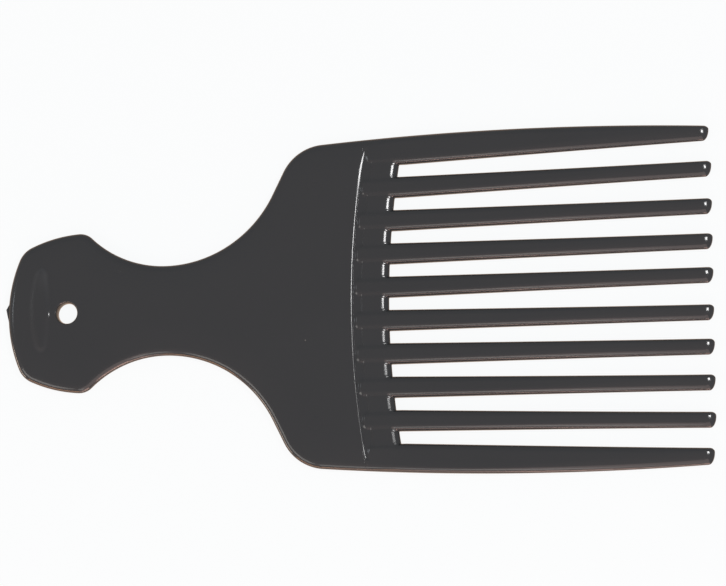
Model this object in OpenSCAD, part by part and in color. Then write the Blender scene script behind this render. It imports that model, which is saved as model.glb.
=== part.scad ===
// Wide-tooth afro pick, one black plastic moulding laid flat on its back.
// X runs from the butt to the tooth tips, Y across the teeth, Z up through the thickness.
// The outline is a chain of tangent arcs, so that an inset outline is the same arcs with other radii.

/* [Plate] */
// Thickness of the plate, in the grip, the neck and the shoulders
plate_t = 3.3; // [2.8:0.1:4.5]
// Reach of the rounding of the outer edge, in from the outline
rim_r = 1.5; // [0.8:0.1:1.6]
// Height of the upright land at the parting line of the outer edge
rim_land = 0.6; // [0.4:0.1:1.2]

/* [Grip end] */
// Radius of the curve of the butt
butt_r = 35; // [30:0.5:45]
// Radius of the corners between the butt and the grip's sides
butt_corner_r = 6.1; // [4:0.1:8]
// Radius of the curve of the grip's sides
grip_side_r = 33.8; // [30:0.1:40]
// Half the width of the grip where it is widest
grip_half_w = 19.75; // [18:0.05:22]
// Distance from the butt to the widest place of the grip
grip_widest_x = 19.9; // [18:0.1:22]
// Radius of the corners between the grip's sides and the neck
grip_corner_r = 4.4; // [3:0.1:6]
// Length of the grip end, up to the neck
grip_l = 28; // [26:0.5:34]

/* [Hang hole] */
// Diameter of the hang hole
hole_d = 5; // [3:0.1:7]
// Distance from the butt to the middle of the hang hole
hole_x = 15; // [14.5:0.1:18]
// Chamfer at both ends of the hang hole
hole_chamfer = 0.5; // [0.2:0.1:1]

/* [Thumb pad] */
// Height of the pad above the plate
pad_h = 0.3; // [0.2:0.05:0.8]
// Distance from the butt to the pad
pad_x = 5.2; // [4:0.1:5.5]
// Width of the pad along its middle
pad_w = 5.9; // [3:0.1:6]
// Length of the pad across the grip
pad_l = 21.6; // [17:0.2:23]
// Radius of the edge of the pad that faces the butt
pad_butt_r = 29; // [20:1:40]
// Radius of the edge of the pad that faces the hole
pad_hole_r = 60; // [40:1:120]
// Distance of the pad's middle from the middle of the grip
pad_y = 0.9; // [0:0.1:2]

/* [Gate vestige] */
// Length that the trimmed gate stands out from the butt
gate_l = 0.7; // [0.3:0.1:1]
// Width of the trimmed gate where it leaves the butt
gate_w = 4.4; // [2:0.1:6]
// Distance of the trimmed gate's peak from the middle of the butt
gate_y = 1.4; // [0:0.1:3]

/* [Neck] */
// Half the width of the neck where it is narrowest
neck_half_w = 11.05; // [9:0.05:13]
// Distance from the butt to the narrowest place of the neck
neck_x = 39.6; // [38:0.1:42]
// Radius of the neck's hollow sides from the grip to the narrowest place
neck_grip_r = 26.9; // [25:0.1:29]
// Radius of the neck's hollow sides from the narrowest place to the head
neck_head_r = 29.8; // [27:0.1:31]
// Length of the neck, from the grip end to the shoulders
neck_l = 28; // [20:0.5:30]

/* [Head] */
// Length of the straight flanks between the neck and the shoulders
flank_l = 6.2; // [2:0.1:8]
// Radius of the shoulders
shoulder_r = 11.6; // [10:0.1:14]
// Half the width of the head where it is widest
head_half_w = 41.76; // [40:0.01:44]
// Distance from the butt to the widest place of the head
head_widest_x = 133; // [125:1:140]
// Radius of the bowed outer sides of the head
head_side_r = 700; // [600:10:1200]

/* [Tooth bar] */
// Distance from the butt to the step at the middle of the head
step_x = 85.75; // [84:0.05:88]
// Radius of the step, which bows towards the butt
step_r = 225; // [180:5:300]
// Chamfer along the top of the step
step_chamfer = 0.3; // [0.1:0.05:0.3]
// Length of the bar, from the step to the ends of the gaps
bar_l = 9.25; // [8:0.05:11]
// Thickness of the bar in the valley that runs along the step
valley_t = 2.6; // [1.4:0.1:2.6]
// Distance from the step to the webs between the teeth
web_start = 2.85; // [2:0.05:3.6]
// Thickness of the webs between the teeth
web_t = 2.9; // [2.7:0.1:3]
// Length of the rounded front of the webs
nose_l = 1.35; // [0.8:0.05:1.8]
// Distance from the step to the ribs that carry the teeth
rib_start = 0.4; // [0.3:0.1:1.8]
// Width of the full-height edge that runs beside the valley's ends
edge_w = 2; // [1.8:0.1:3]

/* [Teeth] */
// Distance from the butt to the tips of the inner teeth
tip_x = 173.3; // [150:0.1:190]
// Length by which the two outer teeth are shorter
outer_short = 0.5; // [0:0.1:3]
// Width of an inner tooth at its root
root_w = 5.15; // [4:0.05:5.6]
// Width of an inner tooth before its nose
tip_w = 3.8; // [3:0.05:4]
// Width of an outer tooth at its root
outer_root_w = 6.75; // [6:0.05:7.5]
// Width of an outer tooth before its nose
outer_tip_w = 3.75; // [3:0.05:4.5]
// Thickness of a tooth before its nose
tip_t = 2.5; // [2:0.1:2.8]
// Length of the round nose of a tooth
tooth_nose_l = 1.8; // [1.5:0.1:4]
// Length of tooth that the bar carries past the ends of the gaps
root_land = 1; // [0.5:0.1:2]

/* [Hidden] */

black = [0.05, 0.05, 0.055];
teeth = 10;
// Each tooth leans a little from its even place, as a share of the pitch at the tips
lean_shares = [0.01, 0, -0.05, -0.03, 0.03, -0.01, 0.04, 0.05, 0.02, 0.03];
// Each tooth narrows faster near its root
taper_power = 1.35;
// The gate was trimmed askew, so its foot reaches further on one side
gate_skew_share = 0.3;

overrun = 1;
mid_z = plate_t / 2;
rim_steps = 3;
round_steps = 4;
shaft_steps = 5;
side_steps = 8;
// Round ends stop this many degrees short of a point, with a small flat
round_end_a = 8;
rim_h = (plate_t - rim_land) / 2;
blank_end_x = step_x + 2 * bar_l;
arc_fn = 720;
corner_fn = 48;

function direction(a) = [cos(a), sin(a)];
function angle_of(v) = atan2(v[1], v[0]);
function reversed(list) = [for (i = [len(list) - 1 : -1 : 0]) list[i]];

// Where two circles cross, on the left of the line from the first centre to the second
function crossing(c1, r1, c2, r2) =
    let (
        d = norm(c2 - c1),
        along = (r1 * r1 - r2 * r2 + d * d) / (2 * d),
        u = (c2 - c1) / d,
        side = sqrt(r1 * r1 - along * along)
    )
    c1 + along * u + side * [-u[1], u[0]];

// Centres of the arcs of the upper half of the outline
butt_c = [butt_r, 0];
grip_c = [grip_widest_x, grip_half_w - grip_side_r];
neck_grip_c = [neck_x, neck_half_w + neck_grip_r];
neck_head_c = [neck_x, neck_half_w + neck_head_r];
head_c = [head_widest_x, head_half_w - head_side_r];
butt_corner_c = crossing(grip_c, grip_side_r - butt_corner_r, butt_c, butt_r - butt_corner_r);
grip_corner_c = crossing(grip_c, grip_side_r - grip_corner_r, neck_grip_c, neck_grip_r + grip_corner_r);
flank_reach = norm([neck_head_r + shoulder_r, flank_l]);
shoulder_c = crossing(neck_head_c, flank_reach, head_c, head_side_r - shoulder_r);

// Angles where one arc hands over to the next
butt_end_a = angle_of(butt_corner_c - butt_c);
grip_start_a = angle_of(butt_corner_c - grip_c);
grip_end_a = angle_of(grip_corner_c - grip_c);
neck_start_a = angle_of(neck_grip_c - grip_corner_c);
flank_a = angle_of(neck_head_c - shoulder_c) - atan(flank_l / (neck_head_r + shoulder_r));
head_start_a = angle_of(shoulder_c - head_c);
function head_a(x) = acos((x - head_widest_x) / head_side_r);
function butt_at(y) = butt_r - sqrt(butt_r * butt_r - y * y);

// One arc of the outline in n steps, but for its last point, which is the next arc's first.
// Bulge is 1 for a round stretch and -1 for a hollow one.
function stretch(c, r, bulge, inset, a0, a1, n) =
    [for (i = [0 : n - 1]) c + (r - bulge * inset) * direction(a0 + (a1 - a0) * i / n)];

// The upper half of the outline, from the butt to past the bar, moved inwards by inset
function half_outline(inset) = concat(
    stretch(butt_c, butt_r, 1, inset, 180, butt_end_a, 6),
    stretch(butt_corner_c, butt_corner_r, 1, inset, butt_end_a, grip_start_a, 4),
    stretch(grip_c, grip_side_r, 1, inset, grip_start_a, grip_end_a, 6),
    stretch(grip_corner_c, grip_corner_r, 1, inset, grip_end_a, neck_start_a, 4),
    stretch(neck_grip_c, neck_grip_r, -1, inset, neck_start_a + 180, 270, 6),
    stretch(neck_head_c, neck_head_r, -1, inset, 270, flank_a + 180, 12),
    [neck_head_c + (neck_head_r + inset) * direction(flank_a + 180)],
    stretch(shoulder_c, shoulder_r, 1, inset, flank_a, head_start_a, 8),
    stretch(head_c, head_side_r, 1, inset, head_start_a, head_a(blank_end_x), 4),
    [head_c + (head_side_r - inset) * direction(head_a(blank_end_x))]
);

function outline(inset) =
    let (upper = half_outline(inset))
    concat(
        [for (p = reversed(upper)) [p[0], -p[1]]],
        [for (i = [1 : len(upper) - 1]) upper[i]]
    );

// A ring's flat end, in strips from each point to the one across the ring
function end_strips(n) = [
    for (j = [0 : ceil(n / 2) - 2])
        each [
            [j, j + 1, n - 1 - j],
            if (j + 1 < n - 2 - j) [j + 1, n - 2 - j, n - 1 - j]
        ]
];

// Rings of points stacked into one closed solid, each ring clockwise seen from the last
module stacked(rings) {
    n = len(rings[0]);
    last = len(rings) - 1;
    sides = [
        for (k = [0 : last - 1], i = [0 : n - 1])
            let (a = k * n + i, b = k * n + (i + 1) % n)
            each [[a, b, b + n], [a, b + n, a + n]]
    ];
    caps = concat(
        [for (face = end_strips(n)) reversed(face)],
        [for (face = end_strips(n)) [for (i = face) last * n + i]]
    );
    polyhedron([for (ring = rings) each ring], concat(sides, caps), convexity = 6);
}

// The whole plate with its rounded edge, run on past the bar
module plate_blank() {
    // Each level is an inset and a height above the middle of the thickness
    upper = [
        for (i = [0 : rim_steps])
            let (a = 90 * i / rim_steps)
            [rim_r * (1 - cos(a)), rim_land / 2 + rim_h * sin(a)]
    ];
    lower = [for (level = reversed(upper)) [level[0], -level[1]]];
    stacked([
        for (level = concat(lower, upper))
            [for (p = outline(level[0])) [p[0], p[1], mid_z + level[1]]]
    ]);
}

// The slice of space between two distances from the butt
module between(x0, x1) {
    depth = plate_t + 2 * overrun;
    width = 2 * (head_half_w + overrun);
    translate([x0, -width / 2, -overrun]) cube([x1 - x0, width, depth]);
}

neck_start_x = grip_l;
neck_end_x = grip_l + neck_l;

module hang_hole() {
    translate([hole_x, 0, -overrun]) cylinder(h = plate_t + 2 * overrun, d = hole_d, $fn = corner_fn);
    for (up = [0, 1])
        translate([hole_x, 0, up * plate_t])
            mirror([0, 0, up])
                translate([0, 0, -overrun])
                    cylinder(
                        h = overrun + hole_chamfer,
                        r1 = hole_d / 2 + hole_chamfer + overrun,
                        r2 = hole_d / 2,
                        $fn = corner_fn
                    );
}

module grip_end() {
    color(black)
        difference() {
            intersection() {
                plate_blank();
                between(-overrun, neck_start_x);
            }
            hang_hole();
        }
}

// A pad shaped like a D between two arcs, with blunt ends cut by a circle as wide as the pad is long
module thumb_pad() {
    color(black)
        translate([0, pad_y, plate_t])
            linear_extrude(pad_h)
                intersection() {
                    translate([pad_x + pad_butt_r, 0]) circle(r = pad_butt_r, $fn = arc_fn);
                    translate([pad_x + pad_w - pad_hole_r, 0]) circle(r = pad_hole_r, $fn = arc_fn);
                    translate([pad_x + pad_w / 2, 0]) circle(r = pad_l / 2, $fn = arc_fn);
                }
}

module gate_vestige() {
    upper_y = gate_y + gate_w * gate_skew_share;
    lower_y = upper_y - gate_w;
    color(black)
        difference() {
            translate([0, 0, mid_z - rim_land / 2])
                linear_extrude(rim_land)
                    polygon([
                        [-gate_l, gate_y],
                        [butt_at(upper_y), upper_y],
                        [butt_at(upper_y) + rim_r, upper_y],
                        [butt_at(lower_y) + rim_r, lower_y],
                        [butt_at(lower_y), lower_y]
                    ]);
            plate_blank();
        }
}

module neck() {
    color(black)
        intersection() {
            plate_blank();
            between(neck_start_x, neck_end_x);
        }
}

// Everything on the tip side of the step, past its arc
module past_step() {
    translate([step_x + step_r, 0, -overrun])
        cylinder(r = step_r, h = plate_t + 2 * overrun, $fn = arc_fn);
}

// Where the valley ends, beside the full-height edge
valley_end_y = outer_edge(step_x) - edge_w;

module step_chamfers() {
    intersection() {
        for (up = [0, 1])
            translate([step_x + step_r, 0, up * plate_t])
                mirror([0, 0, up])
                    translate([0, 0, -overrun])
                        cylinder(
                            h = overrun + step_chamfer,
                            r1 = step_r + step_chamfer + overrun,
                            r2 = step_r,
                            $fn = arc_fn
                        );
        translate([neck_end_x, -valley_end_y, -overrun])
            cube([blank_end_x - neck_end_x, 2 * valley_end_y, plate_t + 2 * overrun]);
    }
}

module shoulder_plate() {
    color(black)
        difference() {
            intersection() {
                plate_blank();
                between(neck_end_x, blank_end_x - overrun);
            }
            past_step();
            step_chamfers();
        }
}

// Places along the teeth
front_r = step_r - bar_l;
function step_at(y) = step_x + step_r - sqrt(step_r * step_r - y * y);
function front_at(y) = step_x + step_r - sqrt(front_r * front_r - y * y);
function outer_edge(x) = head_c[1] + head_side_r * sin(head_a(x));
// The row fills the width of the head, between the two outer teeth
outer_nose_x = tip_x - outer_short - tooth_nose_l;
row_half = (teeth - 1) / 2;
root_pitch = (outer_edge(step_x + bar_l) - outer_root_w + root_w / 2) / row_half;
tip_pitch = (outer_edge(outer_nose_x) - outer_tip_w + tip_w / 2) / row_half;
function is_outer(k) = k == 0 || k == teeth - 1;
function row_place(k) = row_half - k;
function root_y(k) = row_place(k) * root_pitch;
function tip_y(k) = (row_place(k) + lean_shares[k]) * tip_pitch;
function root_x(k) = front_at(root_y(k)) + root_land;
function end_x(k) = tip_x - (is_outer(k) ? outer_short : 0);
function share_along(k, x) = (x - root_x(k)) / (end_x(k) - root_x(k));
function even_w(k, x) = tip_w + (root_w - tip_w) * pow(max(1 - share_along(k, x), 0), taper_power);
function even_y(k, x) = root_y(k) + (tip_y(k) - root_y(k)) * share_along(k, x);
// An outer tooth keeps the even row's inner side and takes the head's bowed edge as its outer side
function side_of(k) = sign(row_place(k));
function inner_edge(k, x) = abs(even_y(k, x)) - even_w(k, x) / 2;
function tooth_y(k, x) =
    is_outer(k) ? side_of(k) * (outer_edge(x) + inner_edge(k, x)) / 2 : even_y(k, x);
function tooth_w(k, x) = is_outer(k) ? outer_edge(x) - inner_edge(k, x) : even_w(k, x);
function tooth_t(k, x) = plate_t + (tip_t - plate_t) * share_along(k, x);

// Half a round of a section, turning clockwise from the angle a0
function half_round(x, y, ry, rz, a0) = [
    for (i = [0 : side_steps])
        let (a = a0 - 180 * i / side_steps)
        [x, y + ry * cos(a), mid_z + rz * sin(a)]
];

// One section across a tooth or a rib: two half rounds with a flat between them
function section(x, y, w, t) =
    let (r = min(w, t) / 2)
    concat(
        half_round(x, y + w / 2 - r, r, t / 2, 90),
        half_round(x, y - w / 2 + r, r, t / 2, 270)
    );

// The bar between the ribs, turned about the middle of the step's arc
module spine() {
    nose = [
        for (i = [0 : round_steps])
            let (a = 90 * i / round_steps)
            [front_r + nose_l * (1 - sin(a)), (web_t / 2) * cos(a)]
    ];
    ramp = (web_t - valley_t) / 2;
    web_r = step_r - web_start - ramp;
    upper = concat(
        [[step_r, valley_t / 2], [step_r - web_start, valley_t / 2], [web_r, web_t / 2]],
        nose
    );
    lower = [for (i = [len(upper) - 2 : -1 : 0]) [upper[i][0], -upper[i][1]]];
    half_a = asin((head_half_w + overrun) / front_r);
    translate([step_x + step_r, 0, mid_z])
        rotate([0, 0, 180 - half_a])
            rotate_extrude(angle = 2 * half_a, $fn = arc_fn) polygon(concat(upper, lower));
}

// A rib carries a tooth's section back over the bar, up to a round end near the step
module rib(k) {
    x0 = step_at(root_y(k)) + rib_start;
    x1 = root_x(k);
    r = plate_t / 2;
    inner = side_of(k) * inner_edge(k, x1);
    w = is_outer(k) ? head_half_w + overrun - inner_edge(k, x1) : root_w;
    y = is_outer(k) ? inner + side_of(k) * w / 2 : root_y(k);
    rounding = [
        for (i = [0 : round_steps])
            let (a = round_end_a + (90 - round_end_a) * i / round_steps)
            section(x0 + r * (1 - cos(a)), y, w - plate_t * (1 - sin(a)), plate_t * sin(a))
    ];
    stacked(concat(rounding, [section(x1, y, w, plate_t)]));
}

// The full-height edge that joins the shoulders to an outer tooth, outside the valley
module edge_strip(side) {
    k = side > 0 ? 0 : teeth - 1;
    w = head_half_w + overrun - valley_end_y;
    intersection() {
        past_step();
        translate([step_x, side > 0 ? valley_end_y : -valley_end_y - w, -overrun])
            cube([root_x(k) - step_x, w, plate_t + 2 * overrun]);
    }
}

module tooth_bar() {
    color(black)
        intersection() {
            plate_blank();
            past_step();
            union() {
                spine();
                for (k = [0 : teeth - 1]) rib(k);
                for (side = [-1, 1]) edge_strip(side);
            }
        }
}

module tooth(k) {
    nose_x = end_x(k) - tooth_nose_l;
    shaft = [for (i = [0 : shaft_steps]) [root_x(k) + (nose_x - root_x(k)) * i / shaft_steps, 1]];
    nose = [
        for (i = [1 : round_steps])
            let (a = (90 - round_end_a) * i / round_steps)
            [nose_x + tooth_nose_l * sin(a) / cos(round_end_a), cos(a)]
    ];
    color(black)
        stacked([
            for (s = concat(shaft, nose))
                section(s[0], tooth_y(k, s[0]), tooth_w(k, s[0]) * s[1], tooth_t(k, s[0]) * s[1])
        ]);
}

origin_x = (tip_x - gate_l) / 2;
module placed() {
    translate([-origin_x, 0, 0]) children();
}

placed() grip_end();
placed() thumb_pad();
placed() gate_vestige();
placed() neck();
placed() shoulder_plate();
placed() tooth_bar();
placed() tooth(0);  // tooth_01
placed() tooth(1);  // tooth_02
placed() tooth(2);  // tooth_03
placed() tooth(3);  // tooth_04
placed() tooth(4);  // tooth_05
placed() tooth(5);  // tooth_06
placed() tooth(6);  // tooth_07
placed() tooth(7);  // tooth_08
placed() tooth(8);  // tooth_09
placed() tooth(9);  // tooth_10
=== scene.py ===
"""Looks of a wide-tooth afro pick, one black plastic moulding that lies flat on its back.

Each section of the moulding replaces the CAD node of its own name. Sizes are in millimetres,
with X from the butt towards the tips, Y across, and heights from the middle of the thickness,
until a mesh is made in metres in the frame's own axes. In names, R stands for a radius, W for
a width, L for a length, H for a height, C for a centre and A for an angle in degrees.
"""

import math

import bpy
import numpy as np
from mathutils import Matrix, Vector
from mathutils.geometry import delaunay_2d_cdt


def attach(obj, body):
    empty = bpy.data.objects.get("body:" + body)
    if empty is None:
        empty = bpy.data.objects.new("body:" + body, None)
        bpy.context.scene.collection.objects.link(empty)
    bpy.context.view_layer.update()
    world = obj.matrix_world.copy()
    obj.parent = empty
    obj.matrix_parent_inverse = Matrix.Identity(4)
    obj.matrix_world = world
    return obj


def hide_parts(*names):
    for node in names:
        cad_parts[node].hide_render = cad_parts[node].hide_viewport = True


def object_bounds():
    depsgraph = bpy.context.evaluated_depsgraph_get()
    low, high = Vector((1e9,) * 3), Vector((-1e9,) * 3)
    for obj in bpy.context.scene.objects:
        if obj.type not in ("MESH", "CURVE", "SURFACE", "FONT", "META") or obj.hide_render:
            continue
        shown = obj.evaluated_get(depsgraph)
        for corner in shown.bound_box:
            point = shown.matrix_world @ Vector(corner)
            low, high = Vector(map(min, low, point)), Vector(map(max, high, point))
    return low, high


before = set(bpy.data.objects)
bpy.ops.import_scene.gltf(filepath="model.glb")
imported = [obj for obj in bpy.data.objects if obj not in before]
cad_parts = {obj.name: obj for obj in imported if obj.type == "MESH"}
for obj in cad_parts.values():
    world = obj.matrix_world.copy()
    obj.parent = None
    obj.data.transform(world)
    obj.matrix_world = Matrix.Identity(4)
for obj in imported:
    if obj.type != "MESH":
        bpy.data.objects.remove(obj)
cad_low, cad_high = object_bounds()

# Place of the butt and of the middle of the thickness in the frame, and a millimetre in metres
ORIGIN_X = 86.3
MID_Z = 1.65
MM = 0.001

# Edge of the plate: an upright land, a round rim, then a soft crown up to the full height
FULL_H = 1.65
LAND = 0.12
RIM_R = 1.9
RIM_H = 1.25
CROWN_W = 8.0
CROWN_H = 0.4

# Outline of the grip end, the neck and the head, as in the part's source
BUTT_R = 35
BUTT_CORNER_R = 6.1
GRIP_X = 19.9
GRIP_HALF_W = 19.75
GRIP_SIDE_R = 33.8
GRIP_CORNER_R = 4.4
NECK_X = 39.6
NECK_HALF_W = 11.05
NECK_GRIP_R = 26.9
NECK_HEAD_R = 29.8
FLANK_L = 6.2
SHOULDER_R = 11.6
HEAD_X = 133
HEAD_HALF_W = 41.76
HEAD_SIDE_R = 700
# Lines between the grip end, the neck and the shoulder plate
GRIP_END_X = 28
NECK_END_X = 56

# Hang hole with a round rim
HOLE_X = 15
HOLE_R = 2.5
HOLE_RIM = 0.45
HOLE_RIM_H = 1.35

# Thumb pad, a D between an arc towards the butt and one towards the hole
PAD_X = 5.2
PAD_Y = 0.9
PAD_W = 5.9
PAD_L = 21.6
PAD_H = 0.3
PAD_BUTT_R = 29
PAD_HOLE_R = 60
PAD_CORNER = 1.8
PAD_SUNK = 0.15
# Its edge rises over this width, and over a shorter one beside the hole
PAD_SOFT = 2.2
PAD_STEEP_SOFT = 0.9
PAD_STEEP_Y = -0.1
PAD_STEEP_L = 2.4
# Faint haze of handling with painted sheen: a lighter colour in a line along the edge of the pad
# and in a lobe near one end
HAZE_SHEEN_IN = 0.8
HAZE_SHEEN_W = 0.5
HAZE_SHEEN_LEAST = 0.25
HAZE_SHEEN_FULL_Y = 10
HAZE_SHEEN_LINE_SHARE = 0.6
HAZE_SHEEN_LOBE = (10, 9)
HAZE_SHEEN_LOBE_SIZE = (2.2, 3)
HAZE_SHEEN_LOBE_SOFT = 1.5
HAZE_SHEEN_LOBE_SHARE = 0.7

# Gate nub: how far its end is sheared, rounded and torn, and how it thins towards its sides
GATE_L = 0.7
GATE_W = 4.4
GATE_Y = 1.4
GATE_SKEW = 0.3
GATE_SHEAR_W = 0.15
GATE_SHEAR = 0.93
GATE_ROUND = 0.35
GATE_TORN = 0.03
GATE_TORN_FROM = 0.3
GATE_HALF_T = 0.42
GATE_THIN = 0.55
GATE_THIN_UNDER = 0.35
GATE_INSIDE = 0.5
GATE_SEED = 7

# Tooth bar: the curved step, the valley past it, the webs with their round fronts
STEP_X = 85.75
STEP_R = 225
BAR_L = 9.25
EDGE_W = 2
VALLEY_H = 1.3
VALLEY_CORNER = 0.8
WEB_H = 1.45
WEB_START = 2.55
WEB_RAMP = 0.35
NOSE_L = 2.2
NOSE_POWER = 1.5
FILLET = 0.35
FRONT_FILLET = 0.2
# Where the step's round starts before the step, its radius, and the radius at its foot
STEP_FROM = -0.2
STEP_ROUND = 1.1
STEP_FOOT = 0.04
# The round is slackest about SLACK_Y, and gets tighter past the middle
SLACK = 2
SLACK_Y = 32
SLACK_L = 6
SLACK_BACK = 0.41
TIGHT = 0.4
TIGHT_L = 18

# Ribs on the bar, and the teeth, as in the part's source
TEETH = 10
RIB_START = 0.6
RIB_SLOPE_L = 1.1
RIB_BOW = 0.1
ROOT_LAND = 1
ROOT_W = 5.15
OUTER_ROOT_W = 6.75
TIP_X = 173.3
TIP_W = 3.8
TIP_T = 2.5
OUTER_TIP_W = 3.75
OUTER_SHORT = 0.5
TOOTH_NOSE_L = 1.8
TAPER = 1.35
# How far each tip leans towards the upper side, in shares of the pitch of the tips
LEANS = (0.01, 0, -0.05, -0.03, 0.03, -0.01, 0.04, 0.05, 0.02, 0.03)
# Towards the tips the flat top narrows to a ridge, and the nose is shorter on its upper side
RIDGE_X = 112
RIDGE_FULL_X = 168
RIDGE_Y = 0.95
NOSE_LOW_L = 1.5
NOSE_HIGH_L = 1.2
NOSE_FALL_L = 2.3
LOW_POWER = 2
HIGH_POWER = 2
FALL_POWER = 1.6
# Share of the width that stays flat at the ridge
RIDGE_FLAT = 0.04

# Faint rings left by the ejector pins
EJECTORS = ((77.25, 28.6), (77.25, -28.6))
EJECTOR_R = 1.7
EJECTOR_DEEP = 0.02
EJECTOR_WIDE = 0.12

# More than any distance in from an edge, and distances and sizes that count as none
FAR = 40.0
ON_OUTLINE = 0.004
ON_LINE = 1e-4
SLIVER = 1e-3
TINY = 1e-6
NEVER_ZERO = 1e-12

# Mesh of the plate: steps round the rim, rows in from it, and distances between points
RIM_STEPS = 10
CROWN_INSETS = (2.3, 2.8, 3.5, 4.3, 5.3)
INSET_SLACK = 0.01
FLANK_GAP = 0.6
OUTLINE_SHORT = 0.3
STEP_SEARCH = 12
STEP_HALVINGS = 50
STEP_ROWS = 15
STEP_ROW_POINTS = 40
STEP_ROW_IN = 0.15
STEP_CORNER_L = 2.5
STEP_CORNER_GAP = 0.2
BEFORE_STEP = (-1.2, -1.5, -1.9)
SECTION_POINTS = 33
BUTT_MIDDLE = 5
RING_TURNS = np.arange(0, 360, 5)
RIM_TURNS = range(0, 91, 15)
HOLE_GUARD_R = 3.6
EJECTOR_ROWS = (-2.5, -1.6, -0.9, -0.4, 0, 0.4, 0.9, 1.6, 2.5)
OPEN_GRID = 1.9
OPEN_X = (2.55, 92)
OPEN_Y = (-39.35, 40)
OPEN_IN = 2.2
OPEN_HOLE_R = 4
OPEN_LINE = 0.5
LEAST_AREA = 1e-7
PLATE_MERGE = 1e-4
PLATE_CUT = 0.02

# Mesh of the bar: columns across it, and rows that are finest at the step and at the fronts
SIDE_TURNS = np.radians(np.arange(0, 91, 10))
OUTER_COLUMNS = 24
INNER_COLUMNS = 4
WEB_COLUMNS = 9
FILLET_SHARES = np.array([0.2, 0.5, 1.0])
STEP_FINE_L = 0.7
STEP_FINE_GAP = 0.035
VALLEY_GAP = 0.08
VALLEY_SHORT = 0.05
WEB_RAMP_ROWS = 7
WEB_ROWS = (3.2, 3.7, 4.2, 5, 5.8, 6.5)
NOSE_TURNS = np.radians(np.concatenate([np.arange(0, 45, 2), np.arange(45, 91, 5)]))
REACH_FROM = 5
ROOT_ROWS = (0.35, 0.7, 1)
PLACE_PASSES = 4
BAR_CUT = 0.01
ROOT_HALF = 5

# Meshes of a tooth, the thumb pad and the gate nub
SHAFT_ROWS = 49
TOP_COLUMNS = 5
TIP_TURNS = np.radians(np.concatenate([np.arange(3, 85, 3), [86.5, 88.5]]))
ROUND_TURNS = np.radians(np.arange(0, 91, 7.5))
PAD_GRID = 0.16
PAD_GRID_EDGE = 0.1
PAD_GRID_Y = (-13, 15)
PAD_TURN = 1.5
PAD_HALVINGS = 40
PAD_MERGE = 1e-5
GATE_ROWS = 31
GATE_COLUMNS = 13

# Step for the slope of surface(), and the slope and turn up to which the normals follow it
SLOPE_STEP = 0.02
GENTLE_SLOPE = 2
GENTLE_COS = 0.85

# What a flat mesh fills: all between its points, or only the inside of its lines
ALL_BETWEEN = 0
INSIDE_LINES = 1
MIRROR = np.array([1, -1])


def direction(turn):
    turn = np.radians(turn)
    return np.stack([np.cos(turn), np.sin(turn)], -1)


def angle_of(v):
    return math.degrees(math.atan2(v[1], v[0]))


def crossing(c1, r1, c2, r2):
    """Where two circles cross, on the left of the line from the first centre to the second."""
    d = np.subtract(c2, c1)
    far = math.hypot(*d)
    u = d / far
    along = (r1 * r1 - r2 * r2 + far * far) / (2 * far)
    return c1 + along * u + math.sqrt(r1 * r1 - along * along) * np.array([-u[1], u[0]])


# Arcs of the upper half of the outline
BUTT_C = np.array([BUTT_R, 0.0])
GRIP_C = np.array([GRIP_X, GRIP_HALF_W - GRIP_SIDE_R])
NECK_GRIP_C = np.array([NECK_X, NECK_HALF_W + NECK_GRIP_R])
NECK_HEAD_C = np.array([NECK_X, NECK_HALF_W + NECK_HEAD_R])
HEAD_C = np.array([HEAD_X, HEAD_HALF_W - HEAD_SIDE_R])
BUTT_CORNER_C = crossing(GRIP_C, GRIP_SIDE_R - BUTT_CORNER_R, BUTT_C, BUTT_R - BUTT_CORNER_R)
GRIP_CORNER_C = crossing(
    GRIP_C, GRIP_SIDE_R - GRIP_CORNER_R, NECK_GRIP_C, NECK_GRIP_R + GRIP_CORNER_R
)
SHOULDER_C = crossing(
    NECK_HEAD_C, math.hypot(NECK_HEAD_R + SHOULDER_R, FLANK_L), HEAD_C, HEAD_SIDE_R - SHOULDER_R
)
BUTT_END_A = angle_of(BUTT_CORNER_C - BUTT_C)
GRIP_START_A = angle_of(BUTT_CORNER_C - GRIP_C)
GRIP_END_A = angle_of(GRIP_CORNER_C - GRIP_C)
NECK_START_A = angle_of(NECK_GRIP_C - GRIP_CORNER_C)
FLANK_TURN = math.degrees(math.atan(FLANK_L / (NECK_HEAD_R + SHOULDER_R)))
FLANK_A = angle_of(NECK_HEAD_C - SHOULDER_C) - FLANK_TURN
HEAD_START_A = angle_of(SHOULDER_C - HEAD_C)
HEAD_END_A = math.degrees(math.acos((TIP_X - HEAD_X) / HEAD_SIDE_R))
# Centre, radius, 1 for round or -1 for hollow, first and last angle, distance between points
ARCS = (
    (BUTT_C, BUTT_R, 1, 180, BUTT_END_A, 0.6),
    (BUTT_CORNER_C, BUTT_CORNER_R, 1, BUTT_END_A, GRIP_START_A, 0.4),
    (GRIP_C, GRIP_SIDE_R, 1, GRIP_START_A, GRIP_END_A, 0.6),
    (GRIP_CORNER_C, GRIP_CORNER_R, 1, GRIP_END_A, NECK_START_A, 0.3),
    (NECK_GRIP_C, NECK_GRIP_R, -1, NECK_START_A + 180, 270, 0.6),
    (NECK_HEAD_C, NECK_HEAD_R, -1, 270, FLANK_A + 180, 0.6),
    (SHOULDER_C, SHOULDER_R, 1, FLANK_A, HEAD_START_A, 0.4),
    (HEAD_C, HEAD_SIDE_R, 1, HEAD_START_A, HEAD_END_A, 0.8),
)
# The straight flank between the last hollow arc and the shoulder
FLANK_FROM = NECK_HEAD_C + NECK_HEAD_R * direction(FLANK_A + 180)
FLANK_TO = SHOULDER_C + SHOULDER_R * direction(FLANK_A)


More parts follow.
